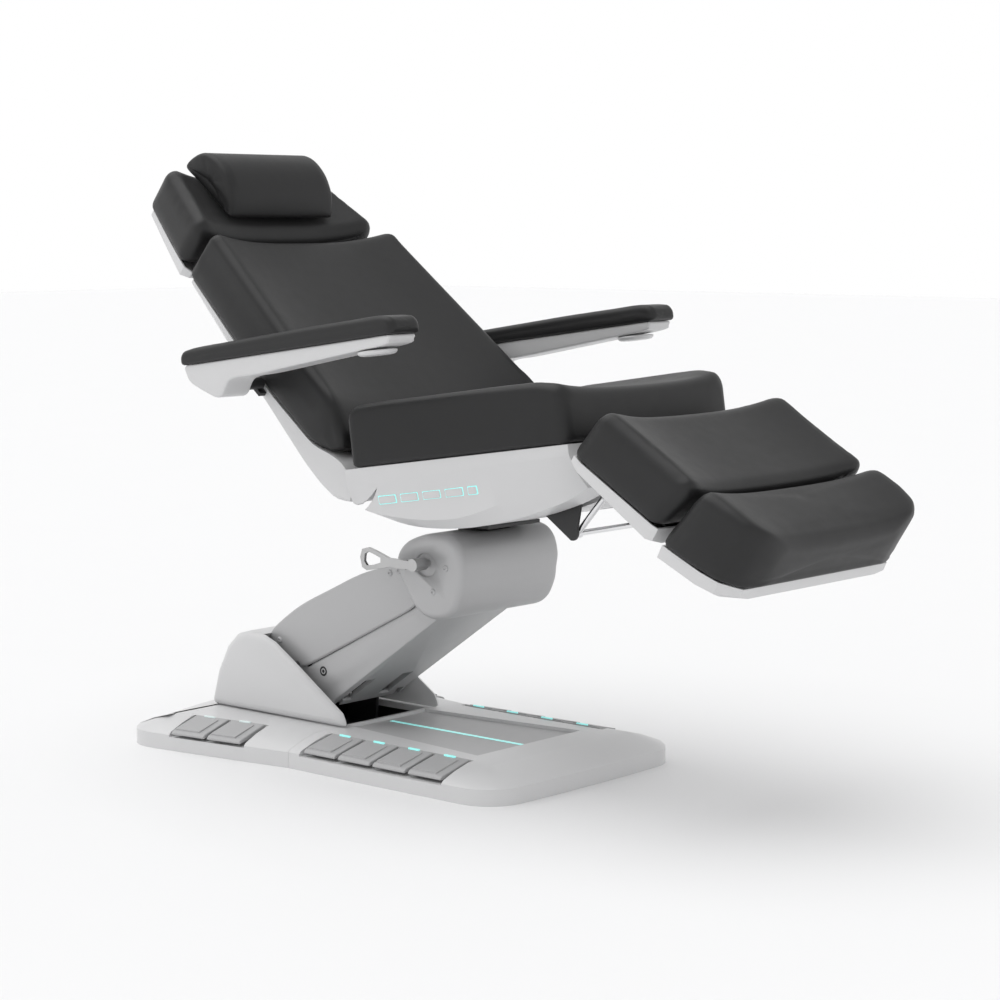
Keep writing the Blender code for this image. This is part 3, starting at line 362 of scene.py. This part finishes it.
# ---------------------------------------------------------------- cushions

PADS = []                        # each cushion with the most that the cloth may move it


def arm_axes(side, word):
    """Matrix from an arm's u, y, n to the frame."""
    x, _, z = JOINTS[f"arm_{word}_flip"]["pos_m"]
    return local_axes(x, z, ARM_ANGLE, side * ARM_Y)


def cushion(name, mesh, axes, body, node, puff=0.0018):
    """A padded piece that stands in for a cushion's CAD node."""
    obj = piece(name, mesh, axes, body, "charcoal_leather", [node])
    PADS.append((obj, puff))
    return obj


def seat_half(u):
    """Half width of the seat, wide at the hips and narrow at the knees."""
    front = max(0.0, u - 0.40)
    return 0.371 - SEAT_TAPER * (u + 0.05) - 1.0 * front * front


def back_half(u):
    """Half width of the back, u metres along from its hinge; it narrows toward the head."""
    return 0.345 + 0.092 * (u + 0.09)


def back_low(u):
    """Underside of the back cushion, which rises toward the hinge."""
    return -0.052 + 0.095 * max(0.0, u + 0.28)


def head_half(u):
    """Half width of the headrest, narrow at its tip."""
    return 0.292 + 0.245 * u


def lean(mesh, rear, front, low, length):
    """Slant the ends of a cushion: metres along u per metre up, from the rear end to the front end."""
    for vert in mesh.vertices:
        share = min(1.0, max(0.0, vert.co.x / length))
        vert.co.x += (rear + (front - rear) * share) * (vert.co.z - low)
    return mesh


def build_seat_cushion():
    low, high = 0.1017, 0.238
    falls = ((-0.045, 0.012), (-0.02, 0.003), (0.05, 0), (0.15, 0), (0.25, 0), (0.35, 0), (0.41, 0.002),
             (0.44, 0.008), (0.458, 0.014), (0.476, 0.024))
    stations = [(u, seat_half(u), low, high - fall, 0.028 - 0.8 * fall) for u, fall in falls]
    cushion("seat_pad", pad(stations, rounds=4), joint_axes("seat_tilt", SEAT_ANGLE), "seat", "seat_cushion")


def build_back_cushion():
    stations = [(u, back_half(u), back_low(u) + 0.001, 0.080, 0.034)
                for u in (-0.667, -0.5, -0.4, -0.3, -0.2, -0.105)]
    stations += [(-0.088, back_half(-0.088) - 0.004, -0.033, 0.062, 0.02),
                 (-0.030, back_half(-0.030) - 0.010, 0.002, 0.037, 0.010)]
    axes = joint_axes("back_recline", BACK_ANGLE)
    cushion("back_pad", pad(stations, rounds=6), axes, "back", "back_cushion")


def build_headrest_cushions():
    """The headrest's cushion and the bow-shaped neck pillow on it."""
    head = joint_axes("headrest_tilt", HEAD_ANGLE)
    stations = [(u, head_half(u), 0.015, 0.134, 0.034) for u in (-0.262, -0.2, -0.13, -0.06, -0.028)]
    mesh = pad(stations, round_top=0.032, round_end=0.032)
    cushion("headrest_pad", mesh, head, "headrest", "headrest_cushion")
    bow = [(-0.261, 0.1165), (-0.263, 0.140), (-0.240, 0.178), (-0.200, 0.194), (-0.150, 0.190),
           (-0.105, 0.166), (-0.080, 0.130), (-0.078, 0.1165), (-0.120, 0.116), (-0.170, 0.116),
           (-0.220, 0.116)]
    mesh = rounded_prism(resample(bow, 0.008), -0.166, 0.166, 0.012, rows=34, caps=True)
    cushion("neck_pillow_pad", mesh, head, "headrest", "neck_pillow")


def build_leg_cushions():
    """The calf's and the foot's cushions, whose facing ends lean the same way."""
    low, length = 0.032, 0.239
    stations = [(u, 0.303, low, 0.158, 0.032) for u in (-0.014, 0.05, 0.12, 0.18, length)]
    mesh = lean(pad(stations, round_top=0.030, round_end=0.026), 0.17, 0.285, low, length)
    cushion("calf_pad", mesh, joint_axes("leg_rest_lift", LEG_ANGLE), "leg_rest", "calf_cushion")

    low, length = -0.007, 0.196
    table = ((0.0, 0.297, 0.136, 0.020), (0.03, 0.305, 0.142, 0.026), (0.090, 0.304, 0.139, 0.026),
             (0.150, 0.295, 0.131, 0.024), (0.180, 0.262, 0.120, 0.018), (length, 0.222, 0.104, 0.01))
    stations = [(u, half, low, high, dip) for u, half, high, dip in table]
    foot = local_axes(FOOT_CORNER[0], FOOT_CORNER[1], FOOT_ANGLE)
    mesh = lean(pad(stations, round_top=0.028, rounds=4), 0.30, 0.10, low, length)
    cushion("foot_pad", mesh, foot, "foot_rest", "foot_cushion")


def build_arm_cushions():
    tops = ((-0.108, 0.082), (-0.08, 0.0865), (-0.033, 0.0881), (0.277, 0.0931), (0.492, 0.0931),
            (0.515, 0.0905), (0.533, 0.084))
    for side, word in ((-1, "near"), (1, "far")):
        mesh = pad([(u, ARM_PAD_HALF, 0.0536, n, 0.0) for u, n in tops], 0.013, 0.006, 0.016, rounds=3)
        cushion(f"arm_rest_pad_{word}", mesh, arm_axes(side, word), f"arm_{word}", f"arm_pad_{word}",
                puff=0.0012)


def puff_out():
    """Cloth under inner pressure swells each cover above its held underside; the movement is capped."""
    scene = bpy.context.scene
    for obj, _ in PADS:
        mesh = obj.data
        held = obj.vertex_groups.new(name="held")
        for vert in mesh.vertices:
            down = vert.normal.dot(Vector((0, 0, -1)))
            if down > HELD_SLOPE:
                held.add([vert.index], 1.0, "REPLACE")
        cloth = obj.modifiers.new("cover", "CLOTH")
        cloth.settings.quality = 5
        cloth.settings.mass = 0.3
        cloth.settings.use_pressure = True
        cloth.settings.uniform_pressure_force = CLOTH_PRESSURE
        cloth.settings.effector_weights.gravity = 0.0
        cloth.settings.vertex_group_mass = "held"
        cloth.point_cache.frame_start = 1
        cloth.point_cache.frame_end = CLOTH_FRAMES
    for number in range(1, CLOTH_FRAMES + 1):
        scene.frame_set(number)
    graph = bpy.context.evaluated_depsgraph_get()
    for obj, cap in PADS:
        count = len(obj.data.vertices) * 3
        rest, swollen = np.zeros(count), np.zeros(count)
        obj.data.vertices.foreach_get("co", rest)
        obj.evaluated_get(graph).data.vertices.foreach_get("co", swollen)
        move = (swollen - rest).reshape(-1, 3)
        length = np.linalg.norm(move, axis=1)
        move *= (cap * np.tanh(length / cap) / np.maximum(length, 1e-9))[:, None]
        obj.modifiers.remove(obj.modifiers["cover"])
        obj.data.vertices.foreach_set("co", rest + move.reshape(-1))
        obj.data.update()
    scene.frame_set(1)


# ---------------------------------------------------------------- hard parts with a smoother visible shape

def carved(mesh, *cutters):
    """The mesh less each cutter, all in the same axes."""
    body = bpy.data.objects.new("carved", mesh)
    tools = [bpy.data.objects.new("tool", cutter) for cutter in cutters]
    for obj in [body] + tools:
        bpy.context.scene.collection.objects.link(obj)
    for tool in tools:
        cut = body.modifiers.new("cut", "BOOLEAN")
        cut.operation = "DIFFERENCE"
        cut.solver = "EXACT"
        cut.object = tool
    graph = bpy.context.evaluated_depsgraph_get()
    result = bpy.data.meshes.new_from_object(body.evaluated_get(graph))
    for obj in [body] + tools:
        bpy.data.objects.remove(obj)
    return result


def slab(u, v, w, radius):
    """Box through the given (low, high) ranges with rounded edges."""
    bm = bmesh.new()
    bmesh.ops.create_cube(bm, size=1.0)
    for vert in bm.verts:
        for axis, (low, high) in enumerate((u, v, w)):
            vert.co[axis] = low + (vert.co[axis] + 0.5) * (high - low)
    bmesh.ops.bevel(bm, geom=bm.edges[:], offset=radius, segments=3, affect="EDGES", profile=0.5)
    return new_mesh(bm)


def turned(profile, steps=40):
    """Surface of revolution about +Z through (radius, height) points, from the rim up to the middle."""
    turns = np.linspace(0, 2 * math.pi, steps, endpoint=False)
    rings = [[(r * math.cos(a), r * math.sin(a), h) for a in turns] for r, h in profile]
    return skin(rings, caps=False)


def bar(outline, half):
    """Sharp-edged prism of an x, z outline, |y| below half."""
    rings = [[(x, y, z) for x, z in outline] for y in (-half, half)]
    return skin(rings, caps=False)


def creased(mesh, angle=28.0):
    """Smooth shading with a crease at every edge sharper than the angle."""
    mesh.shade_smooth()
    mesh.set_sharp_from_angle(angle=math.radians(angle))
    return mesh


def mirrored(u, half_ring):
    """Ring at u from its y >= 0 half of (y, n), given from the bottom middle up to the top middle."""
    mirror = [(-y, n) for y, n in half_ring[1:-1][::-1]]
    return [(u, y, n) for y, n in half_ring + mirror]


def between(table, count):
    """Rows filled in evenly between the given stations."""
    table = np.array(table, float)
    places = np.linspace(table[0, 0], table[-1, 0], count)
    columns = [np.interp(places, table[:, 0], table[:, k]) for k in range(1, table.shape[1])]
    return zip(places, *(settle(column, 3) for column in columns))


def facing(point, direction):
    """Axes with +Z along a direction, at a point of the frame."""
    return Matrix.Translation(point) @ Vector(direction).to_track_quat("Z", "Y").to_matrix().to_4x4()


def screw(name, point, body, radius=0.0075, direction=(0, -1, 0)):
    """Dome-headed screw with a round socket."""
    socket = 0.36 * radius
    profile = [(radius, -0.003), (radius, 0.0004), (0.93 * radius, 0.0016), (0.78 * radius, 0.0026),
               (0.58 * radius, 0.0033), (socket * 1.08, 0.0036), (socket, 0.0034), (socket * 0.95, 0.0012),
               (socket * 0.3, 0.0009)]
    piece(name, turned(profile), facing(point, direction), body, "grey_metallic")


def build_arms():
    """Each arm's body, with the lobe at its pivot, and the dished knob below its front end."""
    under = [(0.515, 0.043), (0.500, 0.034), (0.381, 0.027), (0.25, 0.020), (0.124, 0.0135), (0.062, 0.0125),
             (0.038, 0.007), (0.025, -0.006), (0.014, -0.020), (-0.004, -0.0245), (-0.030, -0.014),
             (-0.079, 0.013), (-0.093, 0.034), (-0.093, 0.0525)]
    top = [(u, 0.0530) for u in (-0.05, 0.05, 0.15, 0.25, 0.35, 0.45)] + [(0.510, 0.0530), (0.519, 0.0500)]
    dish = [(0.030, 0.0), (0.036, 0.0012), (0.0395, 0.0038), (0.041, 0.0070), (0.0405, 0.0092),
            (0.0385, 0.0100), (0.0360, 0.0094), (0.030, 0.0082), (0.018, 0.0072), (0.006, 0.0069)]
    for side, word in ((-1, "near"), (1, "far")):
        axes, body = arm_axes(side, word), f"arm_{word}"
        mesh = rounded_prism(resample(under + top, 0.006), -ARM_BODY_HALF, ARM_BODY_HALF, 0.0045, steps=5)
        piece(f"arm_body_{word}", mesh, axes, body, "white_plastic", [f"arm_{word}"])
        knob = axes @ Matrix.Translation(KNOB_PLACE)
        piece(f"arm_dial_{word}", turned(dish), knob, f"arm_knob_{word}", "white_plastic",
              [f"arm_knob_{word}"])


def build_column_head():
    """The head's rounded casing, open where the links enter and round the bearing, with an oval recess."""
    outline = [(0.139, 0.470), (0.158, 0.497), (0.190, 0.514), (0.235, 0.526), (0.290, 0.527), (0.322, 0.505),
               (0.335, 0.465), (0.331, 0.430), (0.326, 0.400), (0.306, 0.362), (0.272, 0.343), (0.225, 0.342),
               (0.188, 0.364), (0.156, 0.412), (0.142, 0.440)]
    shell = rounded_prism(resample(outline, 0.007), -HEAD_HALF, HEAD_HALF, 0.020, steps=7)
    mouth = slab((0.0, 0.262), (-0.145, 0.145), (0.0, 0.478), 0.006)
    post = slab((0.190, 0.294), (-0.052, 0.052), (0.40, 0.60), 0.02)
    x, z = LEVER_HUB
    recess_line = resample([(x + 0.030 * math.cos(a), z - 0.004 + 0.026 * math.sin(a))
                            for a in np.linspace(0, 2 * math.pi, 12, endpoint=False)], 0.004)
    recess = rounded_prism(recess_line, -HEAD_HALF - 0.01, -HEAD_HALF + 0.008, 0.003)
    mesh = carved(shell, mouth, post, recess)
    piece("column_head_shell", mesh, Matrix(), "column_head", "grey_metallic",
          ["head_casing"])


def build_lights():
    """Light guides at the inner edge of every pedal; the rear ones are pale."""
    for side, word in ((-1, "near"), (1, "far")):
        for number in ("1", "2", "3", "4", "rear_1", "rear_2"):
            name = f"pedal_{word}_{number}"
            turn = -side * FLARE if "rear" in number else 0.0
            axes = Matrix.Translation(JOINTS[f"{name}_press"]["pos_m"]) @ Matrix.Rotation(turn, 4, "Z")
            finish = "pale_lens" if "rear" in number else "light_lens"
            inner, outer = sorted((side * 0.0012, side * 0.0062))
            mesh = slab((-0.022, 0.010), (inner, outer), (0.001, 0.0062), 0.0016)
            piece(f"{name}_light", mesh, axes, name, finish)


def build_buttons():
    """Rounded push buttons in the side of the seat, each in a lit outline."""
    seat = joint_axes("seat_tilt", SEAT_ANGLE)
    along = Vector((1, SEAT_TAPER, 0)).normalized()
    out = Vector((SEAT_TAPER, -1, -FACET_LEAN)).normalized()
    turn = Matrix((along, out.cross(along), out)).transposed().to_4x4()
    for i in range(BUTTON_COUNT):
        half = 0.0215 if i < BUTTON_COUNT - 1 else 0.011
        u = 0.010 + i * BUTTON_PITCH + half
        axes = seat @ Matrix.Translation((u, 0.0139 - seat_half(u), 0.0300)) @ turn
        body = f"seat_button_{i + 1}"
        glow = slab((-half - 0.0010, half + 0.0010), (-0.0094, 0.0094), (-0.004, 0.0008), 0.0022)
        piece(f"{body}_glow", glow, axes, body, "light_lens")
        face = slab((-half + 0.0008, half - 0.0008), (-0.0078, 0.0078), (-0.003, 0.0030), 0.0028)
        piece(f"{body}_face", face, axes, body, "white_plastic", [body])


def build_screws():
    """Screws on the near side of the links and the head; the lower link's one ends its rear pin."""
    for number, (x, z) in enumerate(((-0.262, 0.236), (0.088, 0.424), (0.116, 0.432))):
        screw(f"link_screw_{number + 1}", (x, -HOOD_HALF, z), "upper_link")
    screw("lower_link_screw", (-0.128, -0.1168, 0.178), "lower_link", 0.0112)
    for number, (x, z) in enumerate(((0.288, 0.456), (0.252, 0.402))):
        screw(f"head_screw_{number + 1}", (x, -HEAD_HALF, z), "column_head")


def build_upper_link():
    """Hood of the upper link: softly rounded outside, open below and at its ends."""
    top = [(-0.292, 0.226), (-0.294, 0.250), (-0.261, 0.280), (-0.192, 0.325), (-0.096, 0.371),
           (-0.003, 0.413), (0.095, 0.443), (0.178, 0.470), (0.204, 0.450), (0.196, 0.420), (0.168, 0.375),
           (0.151, 0.351)]
    low = [(0.057, 0.302), (-0.068, 0.239), (-0.181, 0.184), (-0.206, 0.190), (-0.232, 0.184),
           (-0.262, 0.196)]
    shell = rounded_prism(resample(top + low, 0.008), -HOOD_HALF, HOOD_HALF, 0.006)
    inner = [(-0.320, 0.220), (-0.280, 0.243), (-0.253, 0.271), (-0.188, 0.316), (-0.092, 0.362),
             (0.001, 0.404), (0.097, 0.434), (0.30, 0.47), (0.30, 0.10), (-0.32, 0.10)]
    mesh = creased(carved(shell, bar(inner, HOOD_INNER)))
    piece("upper_link_hood", mesh, Matrix(), "upper_link", "grey_metallic", ["upper_link"])


def build_seat_shell():
    """Faceted shell under the seat: an upper band, the facet with the buttons, and one turned under.

    Each row has u, the heights of the band's edge, the turn and the floor, and the floor's half width.
    """
    table = [(-0.060, 0.062, 0.030, 0.024, 0.310), (-0.036, 0.063, 0.010, -0.004, 0.300),
             (0.036, 0.064, -0.008, -0.030, 0.290), (0.100, 0.066, -0.020, -0.041, 0.285),
             (0.1845, 0.068, -0.026, -0.047, 0.275), (0.25, 0.070, -0.014, -0.043, 0.265),
             (0.313, 0.072, 0.0026, -0.037, 0.258), (0.40, 0.074, 0.026, -0.020, 0.245),
             (0.45, 0.075, 0.0387, -0.004, 0.232), (0.468, 0.076, 0.046, 0.010, 0.220)]
    rings = []
    for u, edge, turn, floor, flat in between(table, 34):
        top = seat_half(u) - 0.006
        half_ring = [(0.0, floor), (flat, floor), (top - 0.016, turn), (top - 0.002, edge), (top, edge + 0.004),
                     (top, SEAT_RIM), (0.0, SEAT_RIM)]
        rings.append(mirrored(u, half_ring))
    ways = [slab((-0.020, 0.4325), (-0.205, 0.205), (0.004, 0.2), 0.001),
            slab((-0.100, 0.135), (-0.110, 0.110), (-0.2, 0.2), 0.001)]
    for side in (-1, 1):
        ways.append(slab((0.400, 0.6), (side * 0.1365 - 0.029, side * 0.1365 + 0.029), (0.02, 0.5), 0.001))
        ways.append(slab((0.220, 0.9), (side * 0.1225 - 0.0225, side * 0.1225 + 0.0225), (-0.9, 0.5), 0.001))
    seat = joint_axes("seat_tilt", SEAT_ANGLE)
    x, _, z = JOINTS["back_recline"]["pos_m"]
    turns = np.linspace(0, 2 * math.pi, 48)[:-1]
    swing = bar([(x + SWING_RADIUS * math.cos(a), z + SWING_RADIUS * math.sin(a)) for a in turns], SWING_HALF)
    swing.transform(seat.inverted())
    mesh = creased(carved(skin(rings, caps=False), *ways, swing))
    piece("seat_shell_body", mesh, seat, "seat", "white_plastic", ["seat_shell"])


def build_back_shell():
    """Shell behind the back cushion, deeper toward the hinge, with a tail below it.

    Each row has u, how far the shell stays inside the cushion's half width, its floor and its rim.
    """
    table = [(-0.645, 0.008, -0.070, -0.0524), (-0.45, 0.004, -0.079, -0.0524),
             (-0.28, 0.004, -0.084, -0.0524), (-0.15, 0.004, -0.093, -0.0400),
             (-0.088, 0.004, -0.097, -0.0345), (-0.040, 0.004, -0.101, -0.0085), (0.0, 0.008, -0.103, 0.001),
             (0.022, 0.010, -0.093, 0.001), (0.060, 0.016, -0.058, -0.030)]
    rings = []
    for u, trim, low, rim in between(table, 46):
        half = back_half(u) - trim
        shelf = low + 0.6 * (rim - low)
        half_ring = [(0.0, low), (half - 0.035, low), (half - 0.006, low + 0.35 * (shelf - low)), (half, shelf),
                     (half, rim), (0.0, rim)]
        rings.append(mirrored(u, half_ring))
    ways = [slab((-0.050, 1.0), (-0.112, 0.112), (-0.5, 0.5), 0.001),
            slab((-1.0, -0.565), (-0.085, 0.085), (-0.5, 0.5), 0.001),
            slab((-0.630, -0.052), (-0.262, 0.262), (-0.068, 0.5), 0.001)]
    mesh = creased(carved(skin(rings, caps=False), *ways))
    axes = joint_axes("back_recline", BACK_ANGLE)
    piece("back_shell_body", mesh, axes, "back", "white_plastic", ["back_shell"])


# ---------------------------------------------------------------- CAD nodes that keep their shape

def smoothing():
    """Node group that shades a CAD node smooth, except across edges sharper than an angle."""
    group = bpy.data.node_groups.new("smooth_by_angle", "GeometryNodeTree")
    for way in ("INPUT", "OUTPUT"):
        group.interface.new_socket("Geometry", in_out=way, socket_type="NodeSocketGeometry")
    start, end = group.nodes.new("NodeGroupInput"), group.nodes.new("NodeGroupOutput")
    weld = group.nodes.new("GeometryNodeMergeByDistance")
    weld.inputs["Distance"].default_value = 1e-6
    smooth, crease = (group.nodes.new("GeometryNodeSetShadeSmooth") for _ in range(2))
    crease.domain = "EDGE"
    crease.inputs["Shade Smooth"].default_value = False
    angle = group.nodes.new("GeometryNodeInputMeshEdgeAngle")
    sharp = group.nodes.new("FunctionNodeCompare")
    sharp.operation = "GREATER_THAN"
    sharp.inputs["B"].default_value = math.radians(32)
    for a, b in ((start.outputs[0], weld.inputs["Geometry"]), (weld.outputs[0], smooth.inputs["Geometry"]),
                 (smooth.outputs[0], crease.inputs["Geometry"]), (angle.outputs[0], sharp.inputs["A"]),
                 (sharp.outputs[0], crease.inputs["Selection"]), (crease.outputs[0], end.inputs[0])):
        group.links.new(a, b)
    return group


def dress_nodes():
    """Every CAD node in the finish of its material slot, shaded smooth."""
    slots = {entry["node"]: entry["material_slot"] for entry in frame["record"]["subparts"]}
    group = smoothing()
    for name, node in NODES.items():
        node.modifiers.new("smooth", "NODES").node_group = group
        finish = "panel_grey" if name == "recess_panel" else slots[name]
        node.data.materials.clear()
        node.data.materials.append(FINISH[finish])


# ---------------------------------------------------------------- camera, light and floor

def build_floor():
    bpy.ops.mesh.primitive_plane_add(size=60.0, location=(0, 0, 0))
    floor = bpy.context.object
    floor.name = "studio_floor"
    s = Shader("studio_floor", (0.86, 0.86, 0.865), 0.7)
    s.set(Specular_IOR_Level=0.2)
    s.vary_colour(s.noise(2.0, 3.0), 0.004)
    floor.data.materials.append(s.material)


def build_light():
    """A pale sky, dimmer overhead, and one broad soft sun from above."""
    world = bpy.data.worlds.new("studio")
    bpy.context.scene.world = world
    world.use_nodes = True
    tree = world.node_tree
    place = tree.nodes.new("ShaderNodeTexCoord")
    split = tree.nodes.new("ShaderNodeSeparateXYZ")
    fall = tree.nodes.new("ShaderNodeMapRange")
    for name, value in (("From Min", 0.12), ("From Max", 0.9), ("To Min", 1.0), ("To Max", 0.45)):
        fall.inputs[name].default_value = value
    tree.links.new(place.outputs["Generated"], split.inputs[0])
    tree.links.new(split.outputs["Z"], fall.inputs["Value"])
    tree.links.new(fall.outputs["Result"], tree.nodes["Background"].inputs["Strength"])
    tree.nodes["Background"].inputs["Color"].default_value = (1.0, 1.0, 1.0, 1.0)

    sun = bpy.data.lights.new("overhead", "SUN")
    sun.energy = 1.7
    sun.angle = math.radians(70)
    lamp = bpy.data.objects.new("overhead", sun)
    lamp.rotation_euler = (math.radians(8), math.radians(-14), 0)
    bpy.context.scene.collection.objects.link(lamp)


def build_camera():
    data = bpy.data.cameras.new("camera")
    data.lens = CAMERA_LENS
    data.sensor_width = 36.0
    camera = bpy.data.objects.new("camera", data)
    camera.location = CAMERA_PLACE
    camera.rotation_euler = CAMERA_BACK.to_track_quat("Z", "Y").to_euler()
    bpy.context.scene.collection.objects.link(camera)
    bpy.context.scene.camera = camera


bpy.context.scene.view_settings.view_transform = "Standard"
build_camera()
build_floor()
build_light()
dress_nodes()
build_seat_cushion()
build_back_cushion()
build_headrest_cushions()
build_leg_cushions()
build_arm_cushions()
puff_out()
build_arms()
build_column_head()
build_lights()
build_buttons()
build_screws()
build_upper_link()
build_seat_shell()
build_back_shell()
